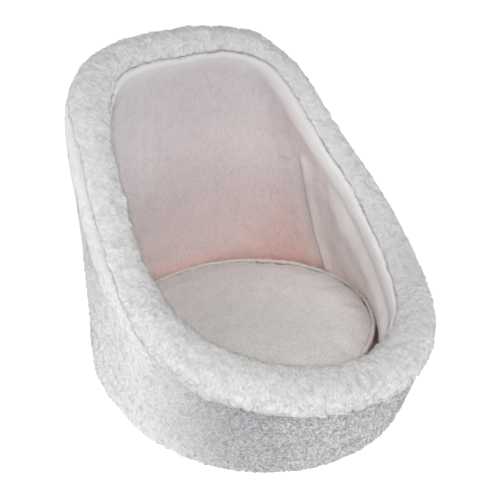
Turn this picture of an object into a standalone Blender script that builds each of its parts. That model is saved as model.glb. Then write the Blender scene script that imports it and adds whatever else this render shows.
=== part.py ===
"""Pet cushion bed: a padded oval tub with a tall back, a stuffed rim roll and a loose oval cushion.

Metres, +Z up. The origin is on the floor under the middle of the bed's bounding box.
The bed faces -Y, its tall back is at +Y, and it is the same on both sides of X = 0.
Every layer of the wall is lofted on the same stations round the bed, so the layers nest.
"""
import math

import bmesh
import bpy
import numpy as np

MM = 0.001

# ---------------------------------------------------------------- driving dimensions (millimetres)
STATIONS = 40               # stations round the bed; number 0 is the middle of the front
WALL_ROWS = 5               # rows up the wall
GAP = 0.4                   # air between neighbouring pieces
ORIGIN_Y = 14.0             # moves the finished bed along Y, so that its box is centred on the origin

# Rim roll: centreline at eight stations from the middle of the front to the middle of the back,
# each as half width, fore-aft place and height. The other side mirrors them.
RIM_CENTRE = ((0, -207, 113), (93, -181, 123), (151, -101, 151), (172, -5, 206),
              (156, 74, 280), (130, 131, 349), (81, 161, 381), (0, 169, 389))
RIM_RADIUS = 26.0
RIM_SIDES = 11              # facets on the roll's open section
CREASE_ANGLE = 50.0         # outer seam of the roll, degrees below its side
SEAM_ANGLE = 135.0          # inner seam of the roll, on the same scale
PLUSH = 2.6                 # thickness of the outer plush with its backing
NAP = 2.2                   # thickness of the lining

# Base outline: half width, front and back reach, and how square each half is
BASE_HALF_WIDTH, BASE_FRONT, BASE_BACK = 189.0, 213.0, 205.0
BASE_POWER_FRONT, BASE_POWER_BACK = 2.04, 2.4
CORNER_RADIUS = 39.5        # roundness of the bottom edge
WALL_BULGE = 6.0            # how far the outside swells between base and roll

# Floor of the tub, inside the walls
FLOOR_HALF_WIDTH, FLOOR_FRONT, FLOOR_BACK = 174.0, 175.0, 179.0
FLOOR_POWER_FRONT, FLOOR_POWER_BACK = 1.9, 2.4
INNER_SWELL = 12.0          # how far the lining stands out from the straight line, floor to roll
BASE_FABRIC = 2.0
BASE_TOP = 40.0             # top of the base foam

# Loose cushion
CUSHION_HALF_WIDTH, CUSHION_FRONT, CUSHION_BACK = 168.0, -143.0, 174.5
CUSHION_POWER = 1.95
CUSHION_SEAM_Z, CUSHION_TOP_Z = 68.0, 86.0
CUSHION_STATIONS = 36
COVER = 1.6                 # cushion fabric
CUSHION_RINGS = (0.35, 0.62, 0.82, 0.94, 1.0)

# ---------------------------------------------------------------- clean scene and collections
for old in list(bpy.data.objects):
    bpy.data.objects.remove(old, do_unlink=True)

parts = bpy.data.collections.new("pet_cushion_bed")
bpy.context.scene.collection.children.link(parts)


def material(name, colour, roughness):
    mat = bpy.data.materials.new(name)
    mat.use_nodes = True
    shader = mat.node_tree.nodes["Principled BSDF"]
    shader.inputs["Base Color"].default_value = (*colour, 1.0)
    shader.inputs["Roughness"].default_value = roughness
    shader.inputs["Metallic"].default_value = 0.0
    mat.diffuse_color = (*colour, 1.0)
    return mat


def add_object(name, data, colour, roughness=0.9):
    obj = bpy.data.objects.new(name, data)
    data.materials.append(material(name, colour, roughness))
    parts.objects.link(obj)
    return obj


# ---------------------------------------------------------------- curves in plan
def closed_curve(points, steps=24):
    """Smooth closed curve through points (centripetal Catmull-Rom), densely sampled."""
    pts = np.asarray(points, float)
    count = len(pts)
    out = []
    for i in range(count):
        p0, p1, p2, p3 = (pts[(i + k) % count] for k in (-1, 0, 1, 2))
        t0 = 0.0
        t1 = t0 + np.linalg.norm(p1 - p0) ** 0.5
        t2 = t1 + np.linalg.norm(p2 - p1) ** 0.5
        t3 = t2 + np.linalg.norm(p3 - p2) ** 0.5
        for t in np.linspace(t1, t2, steps, endpoint=False):
            a1 = (t1 - t) / (t1 - t0) * p0 + (t - t0) / (t1 - t0) * p1
            a2 = (t2 - t) / (t2 - t1) * p1 + (t - t1) / (t2 - t1) * p2
            a3 = (t3 - t) / (t3 - t2) * p2 + (t - t2) / (t3 - t2) * p3
            b1 = (t2 - t) / (t2 - t0) * a1 + (t - t0) / (t2 - t0) * a2
            b2 = (t3 - t) / (t3 - t1) * a2 + (t - t1) / (t3 - t1) * a3
            out.append((t2 - t) / (t2 - t1) * b1 + (t - t1) / (t2 - t1) * b2)
    return np.array(out)


def even_stations(dense, count):
    """Points spaced evenly by plan length round a closed curve that starts at the front."""
    loop = np.vstack([dense, dense[:1]])
    along = np.concatenate([[0.0], np.cumsum(np.linalg.norm(np.diff(loop[:, :2], axis=0), axis=1))])
    want = np.arange(count) / count * along[-1]
    return np.stack([np.interp(want, along, loop[:, k]) for k in range(loop.shape[1])], axis=1)


def outline(half_width, front, back, power_front, power_back, count, middle=0.0):
    """Egg-like outline: a superellipse whose front and back halves differ."""
    ring = []
    for a in np.arange(720) / 720 * 2 * math.pi:
        s, c = math.sin(a), -math.cos(a)
        power = power_front if c < 0 else power_back
        reach = front if c < 0 else back
        ring.append((half_width * math.copysign(abs(s) ** (2 / power), s),
                     middle + reach * math.copysign(abs(c) ** (2 / power), c)))
    return even_stations(np.array(ring), count)


def with_height(ring, z):
    return np.column_stack([ring, np.full(len(ring), float(z))])


def plan_normals(ring):
    """Outward unit normals of a plan outline that runs anticlockwise from the front."""
    step = np.roll(ring[:, :2], -1, axis=0) - np.roll(ring[:, :2], 1, axis=0)
    normal = np.stack([step[:, 1], -step[:, 0]], axis=1)
    return normal / np.linalg.norm(normal, axis=1, keepdims=True)


# ---------------------------------------------------------------- mesh helpers
def to_world(points):
    shifted = np.asarray(points, float) + np.array([0.0, ORIGIN_Y, 0.0])
    return shifted * MM


def grid_mesh(name, rows, closed_rows=False, closed_ring=True, ends=False, mirror_from=None):
    """Triangles over rows of points. Rings and rows close on themselves if asked.

    Where rows go up one face and back down the other, the diagonals are mirrored from the row where
    they turn back, so that the faces of neighbouring layers run parallel.
    """
    bm = bmesh.new()
    verts = [[bm.verts.new(p) for p in to_world(row)] for row in rows]
    half = len(verts) // 2
    if mirror_from is None:
        mirror_from = half
    last_row = len(verts) if closed_rows else len(verts) - 1
    for r in range(last_row):
        low, high = verts[r], verts[(r + 1) % len(verts)]
        last = len(low) if closed_ring else len(low) - 1
        mirror = closed_rows and r >= mirror_from
        for i in range(last):
            j = (i + 1) % len(low)
            if mirror:
                bm.faces.new((low[i], low[j], high[i]))
                bm.faces.new((low[j], high[j], high[i]))
            else:
                bm.faces.new((low[i], low[j], high[j]))
                bm.faces.new((low[i], high[j], high[i]))
    if ends:
        # a strip that doesn't close on itself gets its two cut ends filled
        for column, flip in ((0, False), (-1, True)):
            for r in range(half - 1):
                quad = [verts[r][column], verts[r + 1][column],
                        verts[len(verts) - 2 - r][column], verts[len(verts) - 1 - r][column]]
                bm.faces.new(quad[::-1] if flip else quad)
    bmesh.ops.recalc_face_normals(bm, faces=bm.faces)
    mesh = bpy.data.meshes.new(name)
    bm.to_mesh(mesh)
    bm.free()
    return mesh


def capped_mesh(name, rows):
    """A closed stack of rings whose first and last rings are filled by a fan."""
    bm = bmesh.new()
    verts = [[bm.verts.new(p) for p in to_world(row)] for row in rows]
    for low, high in zip(verts, verts[1:]):
        for i in range(len(low)):
            j = (i + 1) % len(low)
            bm.faces.new((low[i], low[j], high[j]))
            bm.faces.new((low[i], high[j], high[i]))
    for ring, row, flip in ((verts[0], rows[0], True), (verts[-1], rows[-1], False)):
        hub = bm.verts.new(to_world([np.mean(row, axis=0)])[0])
        for i in range(len(ring)):
            j = (i + 1) % len(ring)
            bm.faces.new((hub, ring[j], ring[i]) if flip else (hub, ring[i], ring[j]))
    bmesh.ops.recalc_face_normals(bm, faces=bm.faces)
    mesh = bpy.data.meshes.new(name)
    bm.to_mesh(mesh)
    bm.free()
    return mesh


def thicken(obj, thickness):
    """Solidify towards the inside of the surface, keeping its outer face where it is."""
    mod = obj.modifiers.new("thickness", "SOLIDIFY")
    mod.thickness = thickness * MM
    mod.offset = -1.0
    mod.use_even_offset = False
    return mod


def flat_panel(name, ring, low, high, colour):
    """A flat cut panel: a 2D curve filled on both faces and extruded."""
    curve = bpy.data.curves.new(name, "CURVE")
    curve.dimensions = "2D"
    curve.fill_mode = "BOTH"
    curve.extrude = (high - low) * MM / 2
    spline = curve.splines.new("POLY")
    spline.points.add(len(ring) - 1)
    for point, (x, y) in zip(spline.points, ring[:, :2]):
        point.co = (x * MM, (y + ORIGIN_Y) * MM, 0.0, 1.0)
    spline.use_cyclic_u = True
    obj = add_object(name, curve, colour)
    obj.location.z = (high + low) * MM / 2
    return obj


# ---------------------------------------------------------------- rim roll
half = [np.array(p, float) for p in RIM_CENTRE]
mirrored = [p * np.array([-1.0, 1.0, 1.0]) for p in half[-2:0:-1]]
rim = even_stations(closed_curve(half + mirrored), STATIONS)

tangent = np.roll(rim, -1, axis=0) - np.roll(rim, 1, axis=0)
tangent /= np.linalg.norm(tangent, axis=1, keepdims=True)
outward = np.cross(tangent, [0.0, 0.0, 1.0])
outward /= np.linalg.norm(outward, axis=1, keepdims=True)
down = np.cross(tangent, outward)
down = np.where(down[:, 2:3] > 0, -down, down)


def on_roll(radius, degrees, extra_down=0.0):
    """Ring of points on the roll; degrees count from its outer side, down and round to the inside."""
    a = math.radians(degrees)
    return rim + radius * math.cos(a) * outward + (radius * math.sin(a) + extra_down) * down


arc = np.linspace(SEAM_ANGLE, CREASE_ANGLE + 360.0, RIM_SIDES + 1)
rim_cover = add_object(
    "rim_cover", grid_mesh("rim_cover", [on_roll(RIM_RADIUS, a) for a in arc[::-1]]), (0.80, 0.79, 0.76))
thicken(rim_cover, PLUSH)

core_radius = RIM_RADIUS - PLUSH - 3 * GAP
foot = RIM_RADIUS * math.sin(math.radians(CREASE_ANGLE)) - core_radius * math.sin(math.radians(CREASE_ANGLE))
core = [on_roll(core_radius, a) for a in arc[::-1]]
core += [on_roll(core_radius, SEAM_ANGLE, foot - GAP), on_roll(core_radius, CREASE_ANGLE, foot - GAP)]
rim_filling = add_object(
    "rim_filling", grid_mesh("rim_filling", core, closed_rows=True, mirror_from=len(arc)), (0.85, 0.85, 0.85))

# ---------------------------------------------------------------- wall surfaces
base = outline(BASE_HALF_WIDTH, BASE_FRONT, BASE_BACK, BASE_POWER_FRONT, BASE_POWER_BACK, STATIONS)
base_out = plan_normals(base)
floor = outline(FLOOR_HALF_WIDTH, FLOOR_FRONT, FLOOR_BACK, FLOOR_POWER_FRONT, FLOOR_POWER_BACK, STATIONS)
floor_out = plan_normals(floor)
rim_out = plan_normals(rim)

TOP_GAP = 1.4            # the wall's top edge lies this far under the roll's two seams
crease = on_roll(RIM_RADIUS, CREASE_ANGLE, TOP_GAP)
inner_seam = on_roll(RIM_RADIUS, SEAM_ANGLE, TOP_GAP)


def wall_row(bottom, top, t, swell):
    row = bottom * (1 - t) + top * t
    row[:, :2] += rim_out * swell * 4 * t * (1 - t)
    return row


heights = np.linspace(0, 1, WALL_ROWS + 1)
outer_rows = [wall_row(with_height(base, CORNER_RADIUS), crease, t, WALL_BULGE) for t in heights]
inner_rows = [wall_row(with_height(floor, BASE_TOP + GAP), inner_seam, t, INNER_SWELL) for t in heights]


def towards(row_from, row_to, distance):
    """Points a fixed distance from one wall face towards the other."""
    step = row_to - row_from
    return row_from + distance * step / np.linalg.norm(step, axis=1, keepdims=True)


def bottom_row(degrees, skin=0.0):
    """Row on the rounded bottom edge; skin moves it inwards from the outside."""
    a = math.radians(degrees)
    radius = CORNER_RADIUS - skin
    ring = base - base_out * (CORNER_RADIUS - radius * math.cos(a))
    return with_height(ring, CORNER_RADIUS - radius * math.sin(a))


BOTTOM_ANGLES = (72.0, 50.0, 25.0)
outer_cover = add_object(
    "outer_cover",
    grid_mesh("outer_cover", [bottom_row(a) for a in BOTTOM_ANGLES] + outer_rows), (0.74, 0.73, 0.75))
thicken(outer_cover, PLUSH)

# ---------------------------------------------------------------- foam
back_first = int(round(STATIONS * 0.36))
back_last = STATIONS - back_first
skin = PLUSH + GAP
lining_skin = NAP + GAP
foam_outer = [towards(o, i, skin) for o, i in zip(outer_rows, inner_rows)]
foam_inner = [towards(i, o, lining_skin) for o, i in zip(outer_rows, inner_rows)]
for row in (foam_outer[0], foam_inner[0]):
    row[:, 2] = BASE_TOP + GAP


END_GAP = 0.45


def between(row, first, last, inset):
    """Part of a ring from one station to another, its ends drawn in a little along the ring."""
    index = [k % STATIONS for k in range(first, last + 1)]
    piece = row[index].copy()
    step = inset / np.linalg.norm(piece[1] - piece[0])
    piece[0] = piece[0] * (1 - step) + piece[1] * step
    step = inset / np.linalg.norm(piece[-2] - piece[-1])
    piece[-1] = piece[-1] * (1 - step) + piece[-2] * step
    return piece


def strip(name, outer, inner, first, last, colour):
    """A closed strip of wall between two faces, from one station to another."""
    rows = [between(r, first, last, END_GAP) for r in outer]
    rows += [between(r, first, last, END_GAP) for r in inner[::-1]]
    return add_object(name, grid_mesh(name, rows, closed_rows=True, closed_ring=False, ends=True), colour)


back_foam = strip("back_foam", foam_outer, foam_inner, back_first, back_last, (0.86, 0.84, 0.78))
wall_foam = strip("wall_foam", foam_outer, foam_inner, back_last, back_first + STATIONS, (0.86, 0.84, 0.78))

base_foam_rows = [with_height(base - base_out * (CORNER_RADIUS * 0.84), BASE_FABRIC + GAP)]
base_foam_rows += [bottom_row(a, skin + 0.4) for a in BOTTOM_ANGLES]
base_foam_rows.append(with_height(bottom_row(0.0, skin)[:, :2], BASE_TOP))
base_foam = add_object("base_foam", capped_mesh("base_foam", base_foam_rows), (0.86, 0.84, 0.78))

# ---------------------------------------------------------------- linings and flat panels
lining_back = [towards(i, o, NAP) for o, i in zip(outer_rows, inner_rows)]
back_lining = strip("back_lining", lining_back, inner_rows, back_first, back_last, (0.84, 0.75, 0.73))
wall_lining = strip("wall_lining", lining_back, inner_rows, back_last, back_first + STATIONS,
                    (0.84, 0.75, 0.73))
floor_panel = flat_panel("floor_lining", floor - floor_out * (GAP + 0.4), BASE_TOP + GAP,
                         BASE_TOP + GAP + NAP, (0.84, 0.76, 0.74))
base_panel = flat_panel("base_fabric", base - base_out * (CORNER_RADIUS * 0.80), 0.0, BASE_FABRIC,
                        (0.55, 0.55, 0.56))

# ---------------------------------------------------------------- loose cushion
middle = (CUSHION_FRONT + CUSHION_BACK) / 2
reach = (CUSHION_BACK - CUSHION_FRONT) / 2
cushion = outline(CUSHION_HALF_WIDTH, reach, reach, CUSHION_POWER, CUSHION_POWER, CUSHION_STATIONS, middle)
cushion_bottom_z = BASE_TOP + GAP + NAP + GAP


def cushion_ring(share, z):
    ring = cushion * share
    ring[:, 1] = middle + (cushion[:, 1] - middle) * share
    return with_height(ring, z)


def cushion_top(share):
    return CUSHION_SEAM_Z + (CUSHION_TOP_Z - CUSHION_SEAM_Z) * (1 - share ** 3)


def cushion_under(share):
    return CUSHION_SEAM_Z - (CUSHION_SEAM_Z - cushion_bottom_z) * (1 - share ** 6)


def closed_cover(name, height, lift, side, colour):
    """One half of the cushion's cover: a crowned panel, as thick as its fabric, facing the filling."""
    outer = [cushion_ring(s, height(s) + lift) for s in CUSHION_RINGS]
    inner = [cushion_ring(s, height(s) + lift - side * COVER)
             for s in [min(share, 0.985) for share in CUSHION_RINGS[::-1]]]
    return add_object(name, capped_mesh(name, outer + inner), colour)


cushion_top_cover = closed_cover("cushion_top_cover", cushion_top, GAP / 2 + COVER, 1.0, (0.78, 0.75, 0.73))
cushion_bottom_cover = closed_cover("cushion_bottom_cover", cushion_under, -GAP / 2, -1.0,
                                    (0.78, 0.75, 0.73))
fill_rings = (0.35, 0.62, 0.82, 0.94)
fill_rows = [cushion_ring(s, cushion_top(s) + GAP / 2 - GAP) for s in fill_rings]
fill_rows += [cushion_ring(s, cushion_under(s) - GAP / 2 + COVER + GAP) for s in fill_rings[::-1]]
cushion_filling = add_object("cushion_filling", capped_mesh("cushion_filling", fill_rows), (0.88, 0.88, 0.88))

# smooth shading on the soft forms
for obj in parts.objects:
    if obj.type == "MESH":
        obj.data.shade_smooth()
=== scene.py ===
"""Pet cushion bed, the look: plush, lining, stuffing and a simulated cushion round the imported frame.

Lengths inside the modelling functions are millimetres, in the frame of the CAD part (+Z up, front at -Y).
"""

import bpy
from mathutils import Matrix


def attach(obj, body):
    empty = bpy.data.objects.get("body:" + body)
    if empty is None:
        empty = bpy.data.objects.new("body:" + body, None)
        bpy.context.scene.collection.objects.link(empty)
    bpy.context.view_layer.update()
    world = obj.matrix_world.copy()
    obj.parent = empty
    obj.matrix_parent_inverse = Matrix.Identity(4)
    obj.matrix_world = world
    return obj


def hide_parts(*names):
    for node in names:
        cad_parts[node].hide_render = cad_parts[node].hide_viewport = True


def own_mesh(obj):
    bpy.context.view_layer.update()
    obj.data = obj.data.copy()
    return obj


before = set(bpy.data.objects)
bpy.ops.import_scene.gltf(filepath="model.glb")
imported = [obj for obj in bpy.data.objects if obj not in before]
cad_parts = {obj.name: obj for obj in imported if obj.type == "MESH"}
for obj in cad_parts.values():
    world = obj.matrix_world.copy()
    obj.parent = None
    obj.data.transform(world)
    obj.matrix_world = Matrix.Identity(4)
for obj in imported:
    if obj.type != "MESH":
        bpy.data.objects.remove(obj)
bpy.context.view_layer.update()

import math

import bpy
import numpy as np
from mathutils import Matrix, Vector

MM = 0.001
UP = np.array([0.0, 0.0, 1.0])


# =============================================================== noise
def _hash(ix, iy, iz, seed):
    h = (ix * np.uint64(374761393) + iy * np.uint64(668265263) + iz * np.uint64(2147483647)
         + np.uint64(seed * 362437 + 911)) & np.uint64(0xFFFFFFFF)
    h = ((h ^ (h >> np.uint64(13))) * np.uint64(1274126177)) & np.uint64(0xFFFFFFFF)
    h = ((h ^ (h >> np.uint64(15))) * np.uint64(2246822519)) & np.uint64(0xFFFFFFFF)
    return h ^ (h >> np.uint64(16))


def _unit(h, shift):
    return ((h >> np.uint64(shift)) & np.uint64(0x3FF)).astype(float) / 1023.0


def noise(p, scale, seed=0):
    """Gradient noise, about -1 to 1, of points in millimetres."""
    q = np.asarray(p, float) / scale + 4096.0
    base = np.floor(q)
    f = q - base
    i = base.astype(np.uint64)
    w = f * f * f * (f * (f * 6 - 15) + 10)
    total = 0.0
    for dx in (0, 1):
        for dy in (0, 1):
            for dz in (0, 1):
                h = _hash(i[..., 0] + np.uint64(dx), i[..., 1] + np.uint64(dy), i[..., 2] + np.uint64(dz), seed)
                g = (((_unit(h, 0) * 2 - 1) * (f[..., 0] - dx)) + ((_unit(h, 10) * 2 - 1) * (f[..., 1] - dy))
                     + ((_unit(h, 20) * 2 - 1) * (f[..., 2] - dz)))
                wx = w[..., 0] if dx else 1 - w[..., 0]
                wy = w[..., 1] if dy else 1 - w[..., 1]
                wz = w[..., 2] if dz else 1 - w[..., 2]
                total = total + g * wx * wy * wz
    return total * 1.6


def fbm(p, scale, octaves=3, seed=0, gain=0.5):
    total, amp, norm = 0.0, 1.0, 0.0
    for k in range(octaves):
        total = total + amp * noise(p, scale / 2 ** k, seed + 17 * k)
        norm += amp
        amp *= gain
    return total / norm


def cells(p, scale, seed=0):
    """Distance to the nearest and second nearest scattered point, in cell sizes, and the cell's own number."""
    q = np.asarray(p, float) / scale + 4096.0
    base = np.floor(q).astype(np.int64)
    first = np.full(q.shape[:-1], 9.0)
    second = first.copy()
    own = np.zeros_like(first)
    for dx in (-1, 0, 1):
        for dy in (-1, 0, 1):
            for dz in (-1, 0, 1):
                c = base + np.array([dx, dy, dz])
                cu = c.astype(np.uint64)
                h = _hash(cu[..., 0], cu[..., 1], cu[..., 2], seed)
                d2 = ((c[..., 0] + _unit(h, 0) - q[..., 0]) ** 2 + (c[..., 1] + _unit(h, 10) - q[..., 1]) ** 2
                      + (c[..., 2] + _unit(h, 20) - q[..., 2]) ** 2)
                closer = d2 < first
                second = np.where(closer, first, np.minimum(second, d2))
                own = np.where(closer, _unit(h, 5), own)
                first = np.where(closer, d2, first)
    return np.sqrt(first), np.sqrt(second), own


def warp(p, scale, amount, seed=0):
    """Points moved about by noise, so that what is read there curls."""
    return p + amount * np.stack([noise(p, scale, seed + k) for k in (1, 2, 3)], axis=-1)


def smooth(x, a, b):
    t = np.clip((x - a) / (b - a), 0, 1)
    return t * t * (3 - 2 * t)


# =============================================================== curves and stations
def periodic_spline(points, t):
    """Closed cubic spline through points, read at t from 0 to 1 (centripetal knots)."""
    p = np.asarray(points, float)
    if p.ndim == 1:
        p = p[:, None]
    n = len(p)
    step = np.linalg.norm(np.roll(p, -1, axis=0) - p, axis=1) ** 0.5
    step = np.maximum(step, 1e-6)
    knots = np.concatenate([[0.0], np.cumsum(step)])
    a = np.zeros((n, n))
    r = np.zeros_like(p)
    for i in range(n):
        before, after = step[i - 1], step[i]
        a[i, (i - 1) % n] += before
        a[i, i] += 2 * (before + after)
        a[i, (i + 1) % n] += after
        r[i] = 6 * ((p[(i + 1) % n] - p[i]) / after - (p[i] - p[i - 1]) / before)
    m = np.linalg.solve(a, r)
    x = (np.asarray(t) % 1.0) * knots[-1]
    k = np.clip(np.searchsorted(knots, x, side="right") - 1, 0, n - 1)
    h = step[k][:, None]
    u = (x - knots[k])[:, None]
    j = (k + 1) % n
    return (m[k] * (h - u) ** 3 / (6 * h) + m[j] * u ** 3 / (6 * h)
            + (p[k] / h - m[k] * h / 6) * (h - u) + (p[j] / h - m[j] * h / 6) * u)


def around(table, s):
    """A value that varies round the bed, from (share of the loop, value) pairs; the ends join."""
    x = np.array([t[0] for t in table])
    y = np.array([t[1] for t in table], float)
    x = np.concatenate([x[-1:] - 1, x, x[:1] + 1])
    y = np.concatenate([y[-1:], y, y[:1]])
    fine = np.linspace(0, 1, 721)
    v = np.interp(fine, x, y)
    kernel = np.hanning(37)
    kernel /= kernel.sum()
    v = np.convolve(np.concatenate([v[-37:-1], v, v[1:37]]), kernel, mode="same")[36:-36]
    return np.interp(np.asarray(s) % 1.0, fine, v)


# Centreline of the rim roll, clockwise seen from the front: each as side, fore-aft, height.
# Soft work: the two sides differ by a few millimetres, as the filling lies.
ROLL = np.array([(2, -194, 112), (96, -171, 122), (152, -87, 149), (175, 11, 203), (158, 90, 278),
                 (130, 145, 349), (79, 173, 381), (-1, 182, 388), (-83, 177, 382), (-131, 144, 351),
                 (-153, 85, 282), (-168, 8, 209), (-152, -86, 152), (-91, -162, 126)], float)
ROLL_RADIUS = ((0.0, 26.5), (0.08, 26.5), (0.2, 26), (0.3, 26), (0.42, 26.5), (0.5, 26.5), (0.58, 26.5),
               (0.7, 26), (0.8, 26), (0.92, 26.5))
# Outer edge of the roll's own plush, degrees below its outer side; negative is above it.
OUTER_SEAM = ((0.0, 38), (0.05, 42), (0.1, 44), (0.135, 36), (0.165, 15), (0.19, -14), (0.22, -36), (0.26, -48),
              (0.35, -46), (0.5, -30), (0.65, -46), (0.74, -50), (0.78, -36), (0.81, -14), (0.835, 18),
              (0.862, 38), (0.9, 44), (0.95, 34))
# Inner edge of the roll's own plush on the same scale, counted backwards over the top.
INNER_SEAM = ((0.0, -158), (0.06, -150), (0.1, -138), (0.2, -140), (0.3, -147), (0.37, -146), (0.42, -172),
              (0.5, -184), (0.57, -180), (0.63, -176), (0.7, -178), (0.8, -178), (0.9, -172))

_dense_t = np.linspace(0, 1, 4001)
_dense = periodic_spline(ROLL, _dense_t)
_run = np.concatenate([[0], np.cumsum(np.linalg.norm(np.diff(_dense, axis=0), axis=1))])
LOOP_LENGTH = _run[-1]
_plan_run = np.concatenate([[0], np.cumsum(np.linalg.norm(np.diff(_dense[:, :2], axis=0), axis=1))])


class Stations:
    """Frames on the roll's centreline at shares s of its length."""

    def __init__(self, s):
        self.s = np.asarray(s, float)
        t = np.interp(self.s * LOOP_LENGTH, _run, _dense_t)
        self.c = periodic_spline(ROLL, t)
        e = 0.0008
        tan = periodic_spline(ROLL, t + e) - periodic_spline(ROLL, t - e)
        self.t = tan / np.linalg.norm(tan, axis=1, keepdims=True)
        out = np.cross(self.t, UP)
        self.o = out / np.linalg.norm(out, axis=1, keepdims=True)
        down = np.cross(self.t, self.o)
        self.d = np.where(down[:, 2:3] > 0, -down, down)
        self.r = around(ROLL_RADIUS, self.s)
        self.plan = np.interp(t, _dense_t, _plan_run / _plan_run[-1])
        self.outer = around(OUTER_SEAM, self.s)
        self.inner = around(INNER_SEAM, self.s)

    def on(self, degrees, radius):
        a = np.radians(degrees)
        r = np.asarray(radius, float)
        return (self.c + (r * np.cos(a))[:, None] * self.o + (r * np.sin(a))[:, None] * self.d)


def egg(plan_share, half_width, front, back, power_front, power_back, middle):
    """Point and outward direction on an egg-shaped outline, by its share of plan length from the front."""
    a = np.linspace(0, 2 * math.pi, 2881)
    s, c = np.sin(a), -np.cos(a)
    power = np.where(c < 0, power_front, power_back)
    reach = np.where(c < 0, front, back)
    x = half_width * np.sign(s) * np.abs(s) ** (2 / power)
    y = middle + reach * np.sign(c) * np.abs(c) ** (2 / power)
    run = np.concatenate([[0], np.cumsum(np.hypot(np.diff(x), np.diff(y)))])
    w = np.asarray(plan_share) * run[-1]
    px, py = np.interp(w, run, x), np.interp(w, run, y)
    e = run[-1] * 0.004
    wrap = lambda v, arr: np.interp(np.mod(v, run[-1]), run, arr)
    tx = wrap(w + e, x) - wrap(w - e, x)
    ty = wrap(w + e, y) - wrap(w - e, y)
    n = np.stack([ty, -tx], axis=1)
    n /= np.linalg.norm(n, axis=1, keepdims=True)
    return np.stack([px, py], axis=1), n


def hermite(p0, m0, p1, m1, t):
    t = t[None, :, None]
    h00, h10 = 2 * t ** 3 - 3 * t ** 2 + 1, t ** 3 - 2 * t ** 2 + t
    h01, h11 = -2 * t ** 3 + 3 * t ** 2, t ** 3 - t ** 2
    return h00 * p0[:, None] + h10 * m0[:, None] + h01 * p1[:, None] + h11 * m1[:, None]


def resample(path, rows, weight=None):
    """Each station's path read at even (or weighted) shares of its own length: (n, rows, 3)."""
    seg = np.linalg.norm(np.diff(path, axis=1), axis=2)
    run = np.concatenate([np.zeros((len(path), 1)), np.cumsum(seg, axis=1)], axis=1)
    share = np.linspace(0, 1, rows) if weight is None else weight
    out = np.empty((len(path), rows, 3))
    for i in range(len(path)):
        w = share * run[i, -1]
        for k in range(3):
            out[i, :, k] = np.interp(w, run[i], path[i, :, k])
    return out, run[:, -1]


def grid_normals(g, closed_u=True, closed_v=False):
    """Unit normals of a grid (n along the loop, m across)."""
    if closed_u:
        du = np.roll(g, -1, axis=0) - np.roll(g, 1, axis=0)
    else:
        du = np.gradient(g, axis=0)
    dv = (np.roll(g, -1, axis=1) - np.roll(g, 1, axis=1)) if closed_v else np.gradient(g, axis=1)
    n = np.cross(du, dv)
    return n / np.maximum(np.linalg.norm(n, axis=2, keepdims=True), 1e-9)


# =============================================================== meshes
collection = bpy.data.collections.new("bed_look")
bpy.context.scene.collection.children.link(collection)


def mesh_object(name, verts, faces, mat, attributes=None):
    mesh = bpy.data.meshes.new(name)
    verts = np.asarray(verts, float) * MM
    faces = np.asarray(faces, np.int32)
    mesh.vertices.add(len(verts))
    mesh.vertices.foreach_set("co", verts.astype(np.float32).ravel())
    k = faces.shape[1]
    mesh.loops.add(faces.size)
    mesh.loops.foreach_set("vertex_index", faces.ravel())
    mesh.polygons.add(len(faces))
    mesh.polygons.foreach_set("loop_start", np.arange(0, faces.size, k, dtype=np.int32))
    mesh.polygons.foreach_set("loop_total", np.full(len(faces), k, np.int32))
    mesh.update(calc_edges=True)
    return finish_mesh(name, mesh, mat, attributes)


def finish_mesh(name, mesh, mat, attributes=None):
    for key, values in (attributes or {}).items():
        values = np.asarray(values, np.float32)
        if values.ndim == 2:
            layer = mesh.attributes.new(key, "FLOAT_VECTOR", "POINT")
            layer.data.foreach_set("vector", values.ravel())
        else:
            layer = mesh.attributes.new(key, "FLOAT", "POINT")
            layer.data.foreach_set("value", values)
    mesh.validate()
    mesh.shade_smooth()
    mesh.materials.append(mat)
    obj = bpy.data.objects.new(name, mesh)
    collection.objects.link(obj)
    return obj


def mixed_object(name, verts, polys, mat, attributes=None):
    """A mesh from several arrays of polygons, each array with its own corner count; turned to face outwards."""
    if sum(outward_volume(verts, f) for f in polys) < 0:
        polys = [f[:, ::-1] for f in polys]
    mesh = bpy.data.meshes.new(name)
    mesh.vertices.add(len(verts))
    mesh.vertices.foreach_set("co", (verts * MM).astype(np.float32).ravel())
    corners = np.concatenate([f.ravel() for f in polys]).astype(np.int32)
    totals = np.concatenate([np.full(len(f), f.shape[1]) for f in polys]).astype(np.int32)
    starts = np.concatenate([[0], np.cumsum(totals)[:-1]]).astype(np.int32)
    mesh.loops.add(len(corners))
    mesh.loops.foreach_set("vertex_index", corners)
    mesh.polygons.add(len(totals))
    mesh.polygons.foreach_set("loop_start", starts)
    mesh.polygons.foreach_set("loop_total", totals)
    mesh.update(calc_edges=True)
    return finish_mesh(name, mesh, mat, attributes)


def ring_faces(n, m, closed_u=True, closed_v=True, flip=False):
    """Quads of a grid of n by m points, numbered i * m + j."""
    i = np.arange(n if closed_u else n - 1)
    j = np.arange(m if closed_v else m - 1)
    ii, jj = np.meshgrid(i, j, indexing="ij")
    i2, j2 = (ii + 1) % n, (jj + 1) % m
    f = np.stack([ii * m + jj, i2 * m + jj, i2 * m + j2, ii * m + j2], axis=-1).reshape(-1, 4)
    return f[:, ::-1] if flip else f


def outward_volume(verts, faces):
    a = verts[faces[:, 0]]
    total = 0.0
    for k in range(1, faces.shape[1] - 1):
        b, c = verts[faces[:, k]], verts[faces[:, k + 1]]
        total += np.einsum("ij,ij->i", a, np.cross(b, c)).sum() / 6
    return total


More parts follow.
